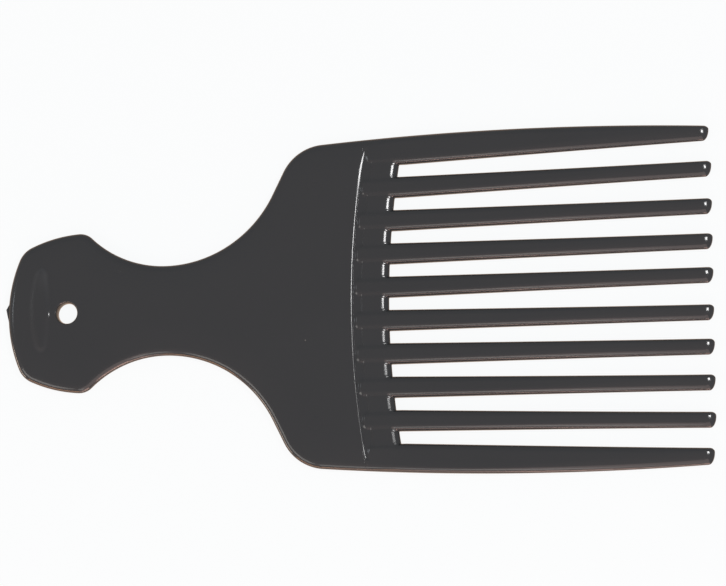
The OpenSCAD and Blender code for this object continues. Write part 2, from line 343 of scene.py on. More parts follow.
def depth(x, y):
    """How far in from the outline a point lies, below zero outside it."""
    x, y = np.asarray(x, float), np.abs(np.asarray(y, float))
    best = np.full(np.broadcast(x, y).shape, FAR)
    for c, r, bulge, a0, a1, _ in ARCS:
        dx, dy = x - c[0], y - c[1]
        turn = np.degrees(np.arctan2(dy, dx)) % 360
        d = bulge * (r - np.hypot(dx, dy))
        near = (turn >= min(a0, a1) - ON_LINE) & (turn <= max(a0, a1) + ON_LINE)
        best = np.where(near & (np.abs(d) < np.abs(best)), d, best)
    u = (FLANK_TO - FLANK_FROM) / np.linalg.norm(FLANK_TO - FLANK_FROM)
    dx, dy = x - FLANK_FROM[0], y - FLANK_FROM[1]
    along, d = dx * u[0] + dy * u[1], dx * u[1] - dy * u[0]
    near = (along >= 0) & (along <= FLANK_L) & (np.abs(d) < np.abs(best))
    return np.where(near, d, best)


def outer_edge(x):
    return HEAD_C[1] + np.sqrt(HEAD_SIDE_R**2 - (x - HEAD_X) ** 2)


# Places along the teeth
ARC_X = STEP_X + STEP_R
ROW_HALF = (TEETH - 1) / 2
OUTER_NOSE_X = TIP_X - OUTER_SHORT - TOOTH_NOSE_L
ROOT_PITCH = (outer_edge(STEP_X + BAR_L) - OUTER_ROOT_W + ROOT_W / 2) / ROW_HALF
TIP_PITCH = (outer_edge(OUTER_NOSE_X) - OUTER_TIP_W + TIP_W / 2) / ROW_HALF
VALLEY_END = float(outer_edge(STEP_X)) - EDGE_W


def arc_x(s, y):
    """X of the point that lies s past the step, at that Y."""
    return ARC_X - np.sqrt((STEP_R - s) ** 2 - y * y)


def past_step(x, y):
    """How far past the step a point lies, below zero before it."""
    return STEP_R - np.hypot(x - ARC_X, y)


def is_outer(k):
    return k in (0, TEETH - 1)


def root_y(k):
    return (ROW_HALF - k) * ROOT_PITCH


def tip_y(k):
    return (ROW_HALF - k + LEANS[k]) * TIP_PITCH


def root_x(k):
    return float(arc_x(BAR_L, root_y(k))) + ROOT_LAND


def end_x(k):
    return TIP_X - (OUTER_SHORT if is_outer(k) else 0)


def tooth_lines(k, x):
    """Lower and upper edge of a tooth, and its half thickness, at X."""
    s = (x - root_x(k)) / (end_x(k) - root_x(k))
    w = TIP_W + (ROOT_W - TIP_W) * np.maximum(1 - s, 0) ** TAPER
    y = root_y(k) + (tip_y(k) - root_y(k)) * s
    low, high = y - w / 2, y + w / 2
    if k == 0:
        high = outer_edge(x)
    if k == TEETH - 1:
        low = -outer_edge(x)
    return low, high, FULL_H + (TIP_T / 2 - FULL_H) * s


# Lower and upper edge of each rib, where its tooth starts
RIBS = [tooth_lines(k, root_x(k))[:2] for k in range(TEETH)]
OUTER_IN = float(RIBS[0][0])


def ramp(t):
    t = np.clip(t, 0, 1)
    return t * t * (3 - 2 * t)


def rise(d, r):
    """Height share of a full round edge of radius r at a distance d in from it."""
    return np.sqrt(1 - (1 - np.clip(d / r, 0, 1)) ** 2)


def corner(a, b, r):
    """Distance in from two edges that meet in a corner rounded by r."""
    rounded = r - np.hypot(np.maximum(r - a, 0), np.maximum(r - b, 0))
    return rounded + np.maximum(np.minimum(a, b) - r, 0)


def soft_max(a, b, k):
    h = np.maximum(k - np.abs(a - b), 0) / k
    return np.maximum(a, b) + h * h * k / 4


def gap_reach(y):
    """How much further the bar reaches beside a tooth, where the end of each gap is filleted."""
    out = np.full(np.shape(y), FAR)
    for low, high in RIBS:
        out = np.minimum(out, np.maximum(np.maximum(low - y, y - high), 0))
    t = np.clip(FRONT_FILLET - out, 0, FRONT_FILLET)
    return FRONT_FILLET - np.sqrt(FRONT_FILLET**2 - t * t)


def step_share(t, large):
    """Share of the step's fall that is done: a large round, and then a small one at its foot."""
    fall = FULL_H - VALLEY_H
    turn = np.arccos(1 - fall / (large + STEP_FOOT))
    bend, foot = large * np.sin(turn), (large + STEP_FOOT) * np.sin(turn)
    upper = large - np.sqrt(large**2 - np.clip(t, 0, bend) ** 2)
    left = np.clip(foot - t, 0, foot - bend)
    lower = fall - STEP_FOOT + np.sqrt(STEP_FOOT**2 - left**2)
    return np.where(t < bend, upper, lower) / fall


def rib_share(x, y, middle):
    """How much of its height a rib has, from its soft, bowed start in the valley."""
    ahead = x - float(arc_x(0, middle)) - RIB_START - RIB_BOW * (y - middle) ** 2
    return ramp(ahead / RIB_SLOPE_L)


def rib_side(edge):
    """Height of a rib or an outer tooth at a distance in from its side."""
    return np.where(edge > -TINY, LAND + (FULL_H - LAND) * rise(edge, FULL_H), -FAR)


def surface(x, y):
    """Height of the upper side above the middle of the thickness, for the plate and the bar."""
    d = depth(x, y)
    d = np.where(d < ON_OUTLINE, 0, d)
    s = past_step(x, y)
    crown = CROWN_H * (1 - (1 - np.clip(d / CROWN_W, 0, 1)) ** 2)
    plate = LAND + (RIM_H - LAND) * rise(d, RIM_R) + crown
    tooth_like = LAND + (FULL_H - LAND) * rise(d, FULL_H)
    share = ramp(s / BAR_L)
    body = plate * (1 - share) + tooth_like * share
    # Hole
    t = np.clip(1 - (np.hypot(x - HOLE_X, y) - HOLE_R) / HOLE_RIM, 0, 1)
    body = body - HOLE_RIM_H * (1 - np.sqrt(1 - t * t))
    # Ejector rings
    for ex, ey in EJECTORS:
        ring = np.hypot(x - ex, y - ey) - EJECTOR_R
        body = body - EJECTOR_DEEP * np.exp(-((ring / EJECTOR_WIDE) ** 2))
    # Valley, and webs with round fronts
    web = VALLEY_H + (WEB_H - VALLEY_H) * ramp((s - WEB_START) / WEB_RAMP)
    u = np.clip((s - gap_reach(y) - (BAR_L - NOSE_L)) / NOSE_L, 0, 1)
    front = LAND + (WEB_H - LAND) * (1 - u**NOSE_POWER) ** (1 / NOSE_POWER)
    inside = np.where(u > 0, front, web)
    # Soft step down into the valley
    m = corner(s, VALLEY_END - np.abs(y), VALLEY_CORNER)
    slack = SLACK * np.exp(-(((y - SLACK_Y) / SLACK_L) ** 2))
    slack = slack - TIGHT * ramp(-y / TIGHT_L)
    done = step_share(m - STEP_FROM + SLACK_BACK * slack, STEP_ROUND + slack)
    z = body + (inside - body) * done
    # Ribs, and the two outer teeth
    for k in range(1, TEETH - 1):
        low, high = RIBS[k]
        top = soft_max(z, rib_side(np.minimum(y - low, high - y)), FILLET)
        z = z + rib_share(x, y, root_y(k)) * (top - z)
    top = np.minimum(soft_max(z, rib_side(np.abs(y) - OUTER_IN), FILLET), body)
    return z + rib_share(x, np.abs(y), root_y(0)) * np.maximum(top - z, 0)


def true_normals(x, y, normals):
    """Upward normals of the upper side where it slopes gently, and the given ones elsewhere."""
    h = SLOPE_STEP
    dx = (surface(x + h, y) - surface(x - h, y)) / (2 * h)
    dy = (surface(x, y + h) - surface(x, y - h)) / (2 * h)
    exact = np.column_stack([-dx, -dy, np.ones(len(x))])
    exact /= np.linalg.norm(exact, axis=1, keepdims=True)
    gentle = (np.hypot(dx, dy) < GENTLE_SLOPE) & ((exact * normals).sum(1) > GENTLE_COS)
    return np.where(gentle[:, None], exact, normals)


def lengths(v):
    return np.linalg.norm(v, axis=1)


def normals_of(points, faces):
    """Normals at the points, from the faces that meet there, each by its angle."""
    fans = (((f[0], f[i], f[i + 1]) for i in range(1, len(f) - 1)) for f in faces)
    tri = np.array([t for fan in fans for t in fan])
    a, b, c = points[tri[:, 0]], points[tri[:, 1]], points[tri[:, 2]]
    n = np.cross(b - a, c - a)
    n /= np.maximum(lengths(n), NEVER_ZERO)[:, None]
    total = np.zeros_like(points)
    for i, (p, q, r) in enumerate(((a, b, c), (b, c, a), (c, a, b))):
        u, v = q - p, r - p
        cos = (u * v).sum(1) / np.maximum(lengths(u) * lengths(v), NEVER_ZERO)
        np.add.at(total, tri[:, i], n * np.arccos(np.clip(cos, -1, 1))[:, None])
    return total / np.maximum(lengths(total), NEVER_ZERO)[:, None]


def open_edges(faces):
    """Edges that only one face has, each in the direction that this face gives it."""
    seen = {(a, b) for f in faces for a, b in zip(f, (*f[1:], f[0]))}
    return [(a, b) for a, b in sorted(seen) if (b, a) not in seen]


def make_piece(name, points, faces, smooth, normals, rim, haze_and_sheen=None):
    """A piece from points in millimetres. Faces past the first smooth ones are flat inner ends."""
    used = np.unique(np.concatenate([np.asarray(f) for f in faces]))
    place = np.full(len(points), -1)
    place[used] = np.arange(len(used))
    at = np.clip((points[used] - [ORIGIN_X, 0, -MID_Z]) * MM, cad_low, cad_high)
    mesh = bpy.data.meshes.new(name)
    mesh.from_pydata(at.tolist(), [], [[int(place[i]) for i in f] for f in faces])
    mesh.polygons.foreach_set("use_smooth", [True] * len(faces))
    mesh.update()
    loops = []
    for n, f in enumerate(faces):
        if n < smooth:
            loops.extend(normals[i] for i in f)
        else:
            loops.extend([tuple(mesh.polygons[n].normal)] * len(f))
    mesh.normals_split_custom_set([tuple(v) for v in loops])
    for label, values in (("rim", rim), ("haze_and_sheen", haze_and_sheen)):
        if values is not None:
            layer = mesh.attributes.new(label, "FLOAT", "POINT")
            layer.data.foreach_set("value", values[used].astype(np.float32))
    mesh.materials.append(PLASTIC)
    piece = bpy.data.objects.new(name, mesh)
    bpy.context.scene.collection.objects.link(piece)
    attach(piece, "root")
    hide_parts(name)


def slabs(flat, faces, z, owner, inner_line, relief=False):
    """Closed pieces, z above and below the middle, from one flat mesh that is split by owner.

    owner names the piece of each flat face. inner_line says whether an edge of the whole mesh
    is where another part of the moulding goes on, and not a real edge. With relief, the normals
    follow surface() itself.
    """
    n = len(flat)
    points = np.concatenate([np.column_stack([flat, z]), np.column_stack([flat, -z])])
    sides, seen = {}, {}
    for i, f in enumerate(faces):
        for a, b in zip(f, (*f[1:], f[0])):
            seen[(a, b)] = i
    walls, caps = [], {}
    for (a, b), i in seen.items():
        across = seen.get((b, a))
        wall = (a, a + n, b + n, b)
        if across is None and not inner_line((flat[a] + flat[b]) / 2):
            walls.append((owner[i], wall))
        elif across is None or owner[across] != owner[i]:
            caps.setdefault(owner[i], []).append(wall)
    for i, f in enumerate(faces):
        sides.setdefault(owner[i], []).extend([tuple(f), tuple(j + n for j in reversed(f))])
    for name, wall in walls:
        sides[name].append(wall)
    normals = normals_of(points, [f for group in sides.values() for f in group])
    if relief:
        above, below = normals[:n], normals[n:]
        exact = true_normals(flat[:, 0], flat[:, 1], above)
        normals = np.concatenate([exact, np.where(exact == above, below, exact * [1, 1, -1])])
    rim = np.tile(1 - ramp(depth(flat[:, 0], flat[:, 1]) / RIM_R), 2)
    for name, group in sides.items():
        make_piece(name, points, group + caps.get(name, []), len(group), normals, rim)


class FlatPoints:
    """Points, some of them joined in lines, that a flat mesh of triangles is made from."""

    def __init__(self):
        self.points, self.edges = [], []

    def add(self, path, joined=False, closed=False):
        start, last = len(self.points), len(self.points) + len(path) - 1
        self.points.extend(path)
        if joined:
            self.edges.extend((i, i + 1) for i in range(start, last))
        if closed:
            self.edges.append((last, start))

    def mesh(self, fills, near):
        """Flat points and triangles, where points that are nearer than that are one."""
        corners = [Vector(p) for p in self.points]
        made = delaunay_2d_cdt(corners, self.edges, [], fills, near)
        return np.array([tuple(v) for v in made[0]]), [tuple(f) for f in made[2]]


def outline_samples():
    """Points of the upper half of the outline with their inward directions, up to the step."""
    places, inward = [], []
    for c, r, bulge, a0, a1, gap in ARCS:
        count = max(2, math.ceil(abs(math.radians(a1 - a0)) * r / gap))
        turns = list(np.linspace(a0, a1, count + 1)[:-1])
        # The lines between the sections end on points of their own
        for line in (GRIP_END_X, NECK_END_X):
            if abs(line - c[0]) < r:
                for a in (1, -1):
                    hit = (a * math.degrees(math.acos((line - c[0]) / r))) % 360
                    if min(a0, a1) < hit < max(a0, a1):
                        turns = [t for t in turns if abs(t - hit) * math.radians(r) > gap / 3]
                        turns.append(hit)
        for turn in sorted(turns, reverse=a1 < a0):
            places.append(c + r * direction(turn))
            inward.append(-bulge * direction(turn))
        if c is NECK_HEAD_C:
            for t in np.arange(0, FLANK_L, FLANK_GAP):
                places.append(FLANK_FROM + (FLANK_TO - FLANK_FROM) * t / FLANK_L)
                inward.append(-direction(FLANK_A))
    places, inward = np.array(places), np.array(inward)
    keep = past_step(places[:, 0], places[:, 1]) < -OUTLINE_SHORT
    return places[keep], inward[keep]


def step_end(inset):
    """Where an inset outline meets the step's arc."""
    low, high = STEP_X, STEP_X + STEP_SEARCH
    for _ in range(STEP_HALVINGS):
        x = (low + high) / 2
        y = HEAD_C[1] + math.sqrt((HEAD_SIDE_R - inset) ** 2 - (x - HEAD_X) ** 2)
        low, high = (x, high) if math.hypot(x - ARC_X, y) > STEP_R else (low, x)
    return np.array([x, y])


def add_rim(sheet, places, inward):
    """Rows along the outline, close together round the rim and wider apart on the crown."""
    for i in range(RIM_STEPS + 1):
        inset = RIM_R * (1 - math.cos(math.radians(90 * i / RIM_STEPS)))
        half = np.concatenate([places + inward * inset, [step_end(inset)]])
        sheet.add(np.concatenate([half[::-1] * MIRROR, half[1:]]), joined=True)
    for inset in CROWN_INSETS:
        half = places + inward * inset
        half = half[np.abs(depth(half[:, 0], half[:, 1]) - inset) < INSET_SLACK]
        sheet.add(half[::2])
        sheet.add(half[2::2] * MIRROR)


def add_step(sheet):
    """Rows along the step, the last of the joined ones on it."""
    end = step_end(0)
    corner_y = VALLEY_END - STEP_CORNER_L
    ys = np.concatenate([
        np.linspace(0, corner_y, STEP_ROW_POINTS)[:-1], np.arange(corner_y, end[1], STEP_CORNER_GAP)
    ])
    ys = np.concatenate([-ys[:0:-1], ys])
    for s in np.linspace(STEP_FROM - SLACK_BACK * SLACK, 0, STEP_ROWS):
        row = np.column_stack([arc_x(s, ys), ys])
        row = row[depth(row[:, 0], row[:, 1]) > STEP_ROW_IN]
        if s == 0:
            row = np.concatenate([[end * MIRROR], row, [end]])
        sheet.add(row, joined=True)
    for s in BEFORE_STEP:
        row = np.column_stack([arc_x(s, ys), ys])[::2]
        sheet.add(row[depth(row[:, 0], row[:, 1]) > RIM_R + OUTLINE_SHORT])


def add_section_lines(sheet, places):
    """Lines across the plate where its sections meet."""
    for line in (GRIP_END_X, NECK_END_X):
        off_line = np.abs(places[:, 0] - line) + FAR * (places[:, 1] < BUTT_MIDDLE)
        end_y = places[np.argmin(off_line)][1]
        ys = np.linspace(-end_y, end_y, SECTION_POINTS)
        sheet.add(np.column_stack([np.full(SECTION_POINTS, float(line)), ys]), joined=True)


def add_rings(sheet):
    """Rings round the hole and over the ejector marks."""
    for a in RIM_TURNS:
        r = HOLE_R + HOLE_RIM * (1 - math.cos(math.radians(a)))
        sheet.add([HOLE_X, 0] + r * direction(RING_TURNS), joined=True, closed=True)
    sheet.add([HOLE_X, 0] + HOLE_GUARD_R * direction(RING_TURNS[::2]))
    for e in EJECTORS:
        for row in EJECTOR_ROWS:
            r = EJECTOR_R + row * EJECTOR_WIDE
            sheet.add(np.array(e) + r * direction(RING_TURNS[::2]))


def add_open_area(sheet):
    """An even grid on the open area, clear of the other points."""
    gx, gy = np.meshgrid(np.arange(*OPEN_X, OPEN_GRID), np.arange(*OPEN_Y, OPEN_GRID))
    gx, gy = gx.ravel(), gy.ravel()
    free = (depth(gx, gy) > OPEN_IN) & (past_step(gx, gy) < -OPEN_IN)
    free &= np.hypot(gx - HOLE_X, gy) > OPEN_HOLE_R
    for line in (GRIP_END_X, NECK_END_X):
        free &= np.abs(gx - line) > OPEN_LINE
    for ex, ey in EJECTORS:
        free &= np.hypot(gx - ex, gy - ey) > EJECTOR_R + OPEN_LINE
    sheet.add(np.column_stack([gx, gy])[free])


def build_plate():
    places, inward = outline_samples()
    sheet = FlatPoints()
    add_rim(sheet, places, inward)
    add_step(sheet)
    add_section_lines(sheet, places)
    add_rings(sheet)
    add_open_area(sheet)
    flat, faces = sheet.mesh(ALL_BETWEEN, PLATE_MERGE)
    # Only the triangles on the plate stay, and none that bridges a hollow of the outline
    faces = np.array(faces)
    a, b, c = (flat[faces[:, i]] for i in range(3))
    mid = flat[faces].mean(1)
    area = (b[:, 0] - a[:, 0]) * (c[:, 1] - a[:, 1]) - (b[:, 1] - a[:, 1]) * (c[:, 0] - a[:, 0])
    keep = (depth(mid[:, 0], mid[:, 1]) > 0) & (past_step(mid[:, 0], mid[:, 1]) < SLIVER)
    keep &= (np.hypot(mid[:, 0] - HOLE_X, mid[:, 1]) > HOLE_R * (1 - SLIVER)) & (area > LEAST_AREA)
    for p, q in ((a, b), (b, c), (c, a)):
        keep &= depth(*((p + q) / 2).T) > -SLIVER
    faces, mid_x = faces[keep], mid[keep][:, 0]
    names = np.array(["grip_end", "neck", "shoulder_plate"])
    owner = names[(mid_x > GRIP_END_X).astype(int) + (mid_x > NECK_END_X)]
    z = surface(flat[:, 0], flat[:, 1])
    faces = [tuple(map(int, f)) for f in faces]
    slabs(flat, faces, z, list(owner), lambda p: abs(past_step(*p)) < PLATE_CUT, relief=True)


def bar_columns():
    """Tooth of each column across the bar, -1 for a web, and its Y where the teeth start."""
    side = FULL_H * (1 - np.cos(SIDE_TURNS))
    kind, base_y = [], []
    for k in reversed(range(TEETH)):
        low, high = RIBS[k]
        count = OUTER_COLUMNS if is_outer(k) else INNER_COLUMNS
        middle = np.linspace(low + FULL_H, high - FULL_H, count + 1)[1:-1]
        parts = [(k, (low + side, middle, (high - side)[::-1]))]
        if k:
            following = RIBS[k - 1][0]
            fillet = FRONT_FILLET * FILLET_SHARES
            inner = np.linspace(high + FRONT_FILLET, following - FRONT_FILLET, WEB_COLUMNS)[1:-1]
            parts.append((-1, (high + fillet, inner, (following - fillet)[::-1])))
        for owner, ys in parts:
            ys = np.concatenate(ys)
            kind += [owner] * len(ys)
            base_y += list(ys)
    return kind, np.array(base_y, float)


def bar_rows():
    """How far past the step each row of the bar lies."""
    return np.concatenate([
        np.arange(0, STEP_FINE_L, STEP_FINE_GAP),
        np.arange(STEP_FINE_L, WEB_START - VALLEY_SHORT, VALLEY_GAP),
        WEB_START + WEB_RAMP * np.linspace(0, 1, WEB_RAMP_ROWS),
        WEB_ROWS,
        BAR_L - NOSE_L + NOSE_L * np.sin(NOSE_TURNS),
    ])


def outer_y(k, y0, x):
    """Y at X of a column of an outer tooth that has y0 where the tooth starts."""
    low, high = RIBS[k]
    share = (abs(y0) - OUTER_IN) / (abs(high if k == 0 else low) - OUTER_IN)
    return math.copysign(OUTER_IN + share * (float(outer_edge(x)) - OUTER_IN), y0)


def bar_place(k, y0, s):
    """X and Y in a column of the bar, s past the step."""
    y = y0
    for _ in range(PLACE_PASSES):
        x = float(arc_x(s, y))
        if is_outer(k):
            y = outer_y(k, y0, x)
    return x, y


def build_bar():
    """The bar on a grid: columns along X, rows along the step's arc, then out to the roots."""
    kind, base_y = bar_columns()
    rows = bar_rows()
    reach = gap_reach(base_y)
    flat, index = [], {}
    for j, (k, y0) in enumerate(zip(kind, base_y)):
        for i, s in enumerate(rows):
            share = min(1, max(0, (s - REACH_FROM) / (BAR_L - NOSE_L - REACH_FROM)))
            index[i, j] = len(flat)
            flat.append(bar_place(k, y0, s + reach[j] * share))
        if k >= 0:
            x0, y = bar_place(k, y0, BAR_L + reach[j])
            for n, t in enumerate(ROOT_ROWS):
                x = x0 + (root_x(k) - x0) * t
                if is_outer(k):
                    y = outer_y(k, y0, x)
                index[len(rows) + n, j] = len(flat)
                flat.append((x, y))
    flat = np.array(flat)
    faces = []
    for i in range(len(rows) + len(ROOT_ROWS) - 1):
        for j in range(len(kind) - 1):
            quad = [(i, j), (i + 1, j), (i + 1, j + 1), (i, j + 1)]
            joined = i < len(rows) - 1 or kind[j] == kind[j + 1]
            if joined and all(q in index for q in quad):
                faces.append(tuple(index[q] for q in quad))
    roots = [(root_x(k), root_y(k)) for k in range(TEETH)]

    def inner_line(p):
        at_root = any(abs(p[0] - x) < BAR_CUT and abs(p[1] - y) < ROOT_HALF for x, y in roots)
        return at_root or abs(past_step(*p)) < BAR_CUT

    z = surface(flat[:, 0], flat[:, 1])
    slabs(flat, faces, z, ["tooth_bar"] * len(faces), inner_line, relief=True)


def tooth_row(k, x):
    """Y and height of the points of a tooth at X."""
    low, high, half = (float(v) for v in tooth_lines(k, x))
    # The nose ends on the ridge
    ridge = (low + high) / 2 + RIDGE_Y
    shapes = (NOSE_LOW_L, LOW_POWER), (NOSE_HIGH_L, HIGH_POWER), (NOSE_FALL_L, FALL_POWER)
    low_share, high_share, fall_share = (
        (1 - max(0, 1 - (end_x(k) - x) / length) ** power) ** (1 / power)
        for length, power in shapes
    )
    low, high = ridge - (ridge - low) * low_share, ridge + (high - ridge) * high_share
    half = half * fall_share
    # Width of the round sides, which take up the flat top towards the tip
    roll = float(ramp((x - RIDGE_X) / (RIDGE_FULL_X - RIDGE_X)))
    r_low = half + ((ridge - low) * (1 - RIDGE_FLAT) - half) * roll
    r_high = half + ((high - ridge) * (1 - RIDGE_FLAT) - half) * roll
    over = 1 - np.cos(ROUND_TURNS)
    middle = np.linspace(low + r_low, high - r_high, TOP_COLUMNS)[1:-1]
    up = (LAND + (FULL_H - LAND) * np.sin(ROUND_TURNS)) * half / FULL_H
    y = np.concatenate([low + r_low * over, middle, (high - r_high * over)[::-1]])
    return y, np.concatenate([up, np.full(len(middle), half), up[::-1]])


def grid_faces(rows, n):
    """Faces of a grid of rows with n points each."""
    return [
        (i * n + j, (i + 1) * n + j, (i + 1) * n + j + 1, i * n + j + 1)
        for i in range(rows - 1)
        for j in range(n - 1)
    ]


def build_tooth(k):
    """A tooth from its root on the bar, by rows across it."""
    fall_x = end_x(k) - NOSE_FALL_L
    shaft = np.linspace(root_x(k), fall_x, SHAFT_ROWS)
    flat, z = [], []
    for x in np.concatenate([shaft, fall_x + NOSE_FALL_L * np.sin(TIP_TURNS)]):
        y, up = tooth_row(k, x)
        flat.append(np.column_stack([np.full(len(y), x), y]))
        z.append(up)
    faces = grid_faces(len(flat), len(flat[0]))
    owner = [f"tooth_{k + 1:02d}"] * len(faces)
    flat, z = np.concatenate(flat), np.concatenate(z)
    slabs(flat, faces, z, owner, lambda p: abs(p[0] - root_x(k)) < ON_LINE)


def pad_depth(x, y):
    """Distance in from the edge of the thumb pad, a D between two arcs with blunt, round ends."""
    butt = PAD_BUTT_R - np.hypot(x - PAD_X - PAD_BUTT_R, y - PAD_Y)
    hole = PAD_HOLE_R - np.hypot(x - PAD_X - PAD_W + PAD_HOLE_R, y - PAD_Y)
    ends = PAD_L / 2 - np.hypot(x - PAD_X - PAD_W / 2, y - PAD_Y)
    return corner(np.minimum(butt, hole), ends, PAD_CORNER)


def pad_edge():
    """Outline of the pad, found along rays from its middle."""
    middle = np.array([PAD_X + PAD_W / 2, PAD_Y])
    rays = direction(np.arange(0, 360, PAD_TURN))
    near, far = np.zeros(len(rays)), np.full(len(rays), PAD_L)
    for _ in range(PAD_HALVINGS):
        reach = (near + far) / 2
        x, y = (middle + rays * reach[:, None]).T
        inside = pad_depth(x, y) > 0
        near, far = np.where(inside, reach, near), np.where(inside, far, reach)
    return middle + rays * near[:, None]


def pad_haze_and_sheen(x, y, inward):
    """Haze and painted sheen of the thumb pad, from 0 to 1: lighter in a line along its edge and in
    a lobe near one end.
    """
    lobe = -(((x - HAZE_SHEEN_LOBE[0]) / HAZE_SHEEN_LOBE_SIZE[0]) ** 2)
    lobe = np.exp(lobe - ((y - HAZE_SHEEN_LOBE[1]) / HAZE_SHEEN_LOBE_SIZE[1]) ** 2)
    fade = np.clip(HAZE_SHEEN_LEAST + (1 - HAZE_SHEEN_LEAST) * np.abs(y) / HAZE_SHEEN_FULL_Y, 0, 1)
    line = np.exp(-(((inward - HAZE_SHEEN_IN) / HAZE_SHEEN_W) ** 2)) * fade
    lobe_share = HAZE_SHEEN_LOBE_SHARE * lobe * ramp(inward / HAZE_SHEEN_LOBE_SOFT)
    return np.minimum(1, HAZE_SHEEN_LINE_SHARE * line + lobe_share)


def build_pad():
    """The pad rises softly out of the plate, and reaches a little way into it."""
    gx, gy = np.meshgrid(
        np.arange(PAD_X - PAD_GRID_EDGE, PAD_X + PAD_W + PAD_GRID_EDGE, PAD_GRID),
        np.arange(*PAD_GRID_Y, PAD_GRID),
    )
    gx, gy = gx.ravel(), gy.ravel()
    sheet = FlatPoints()
    sheet.add(pad_edge(), joined=True, closed=True)
    sheet.add(np.column_stack([gx, gy])[pad_depth(gx, gy) > PAD_GRID / 2])
    flat, faces = sheet.mesh(INSIDE_LINES, PAD_MERGE)
    x, y = flat.T
    inward = np.maximum(pad_depth(x, y), 0)
    plate = surface(x, y)
    # The edge is steepest beside the hole, on the half of the pad that is nearer to it
    hole_half = ramp((x - PAD_X) / PAD_W * 2 - 0.5)
    steep = np.exp(-(((y - PAD_STEEP_Y) / PAD_STEEP_L) ** 2)) * hole_half
    lift = PAD_H * ramp(inward / (PAD_SOFT + (PAD_STEEP_SOFT - PAD_SOFT) * steep))
    n = len(flat)
    upper, lower = np.column_stack([flat, plate + lift]), np.column_stack([flat, plate - PAD_SUNK])
    points = np.concatenate([upper, lower])
    top = normals_of(points, faces)
    below = [tuple(i + n for i in reversed(f)) for f in faces]
    walls = [(a, a + n, b + n, b) for a, b in open_edges(faces)]
    # Painted sheen: the haze lightens the pad's colour along its edge and in a lobe near one end
    haze_and_sheen = np.tile(pad_haze_and_sheen(x, y, inward), 2)
    make_piece("thumb_pad", points, faces + below + walls, len(faces), top, np.zeros(2 * n), haze_and_sheen)


def build_gate():
    """The trimmed nub on the butt, with a sheared, slightly torn end."""
    chance = np.random.default_rng(GATE_SEED)
    high = GATE_Y + GATE_W * GATE_SKEW
    low = high - GATE_W
    shear_y = [low, GATE_Y - GATE_SHEAR_W, GATE_Y, high]
    outer = []
    for y in np.linspace(low, high, GATE_ROWS):
        reach = np.interp(y, shear_y, [0, GATE_L * GATE_SHEAR, GATE_L, 0])
        butt = BUTT_R - math.sqrt(BUTT_R**2 - y * y)
        tall = GATE_HALF_T * (GATE_THIN + (1 - GATE_THIN) * min(1, reach / GATE_THIN_UNDER))
        for v in np.linspace(-1, 1, GATE_COLUMNS):
            torn = GATE_TORN * chance.standard_normal() * min(1, reach / GATE_TORN_FROM)
            x = butt - reach * (1 - GATE_ROUND * v**4) + abs(torn)
            outer.append((max(x, -GATE_L), y, v * tall))
    outer = np.array(outer)
    m = len(outer)
    back = outer.copy()
    back[:, 0] = BUTT_R - np.sqrt(BUTT_R**2 - back[:, 1] ** 2) + GATE_INSIDE
    points = np.concatenate([outer, back])
    front = [tuple(f[i] for i in (0, 3, 2, 1)) for f in grid_faces(GATE_ROWS, GATE_COLUMNS)]
    behind = [tuple(v + m for v in reversed(f)) for f in front]
    walls = [(b, a, a + m, b + m) for a, b in open_edges(front)]
    faces = front + behind + walls
    make_piece("gate_vestige", points, faces, len(front), normals_of(points, front), np.ones(2 * m))


# Base colour between its two ends, and colours of dust and of the haze with painted sheen, with how
# much dust shows
PLASTIC_LOW = (0.0318, 0.0338, 0.0375, 1)
PLASTIC_HIGH = (0.0358, 0.0378, 0.0415, 1)
DUST_COLOUR = (0.16, 0.15, 0.14, 1)
HAZE_SHEEN_COLOUR = (0.05, 0.053, 0.058, 1)
DUST_SHOWS = 0.5
# Scale, stretch along the axes, turn, detail and roughness of the noises
FLOW = (45, (0.5, 1, 1), 0, 3, 0.5)
GRAIN = (2600, (1, 1, 1), 0, 3, 0.6)
SCRATCHES = (900, (0.03, 1.5, 1), 0.06, 4, 0.65)
SCUFFS = (800, (1.5, 0.04, 1), 0.5, 3, 0.6)
DUST_SCALE = 260
# Part of each noise that counts, and what it is spread to
SCRATCH_RANGE = (0.63, 0.72, 0, 1)
SCUFF_RANGE = (0.66, 0.76, 0, 1)
DUST_NEAR = (0.035, 0.06, 1, 0)
DUST_CHANCE = (0.88, 0.93, 0, 1)
HAZE_SHEEN_BREAKS = (0.35, 0.65, 0.3, 1)
FLOW_ROUGH = (0.3, 0.7, 0.085, 0.12)
GRAIN_ROUGH = (0.3, 0.7, 0, 0.02)
# What the rest adds to the roughness, and to the height of the fine relief
SCRATCH_ROUGH = 0.10
SCUFF_ROUGH = 0.08
WORN_ROUGH = 0.05
DUST_ROUGH = 0.4
GRAIN_HEIGHT = 0.012
SCRATCH_HEIGHT = -0.02
SCUFF_HEIGHT = -0.02
DUST_HEIGHT = 0.15
BUMP_STRENGTH = 0.5
BUMP_DISTANCE = 0.00003
PLASTIC_IOR = 1.5
# The mix node's own sockets for colours
MIX_FACTOR = 0
MIX_A = 6
MIX_B = 7
MIX_OUT = 2


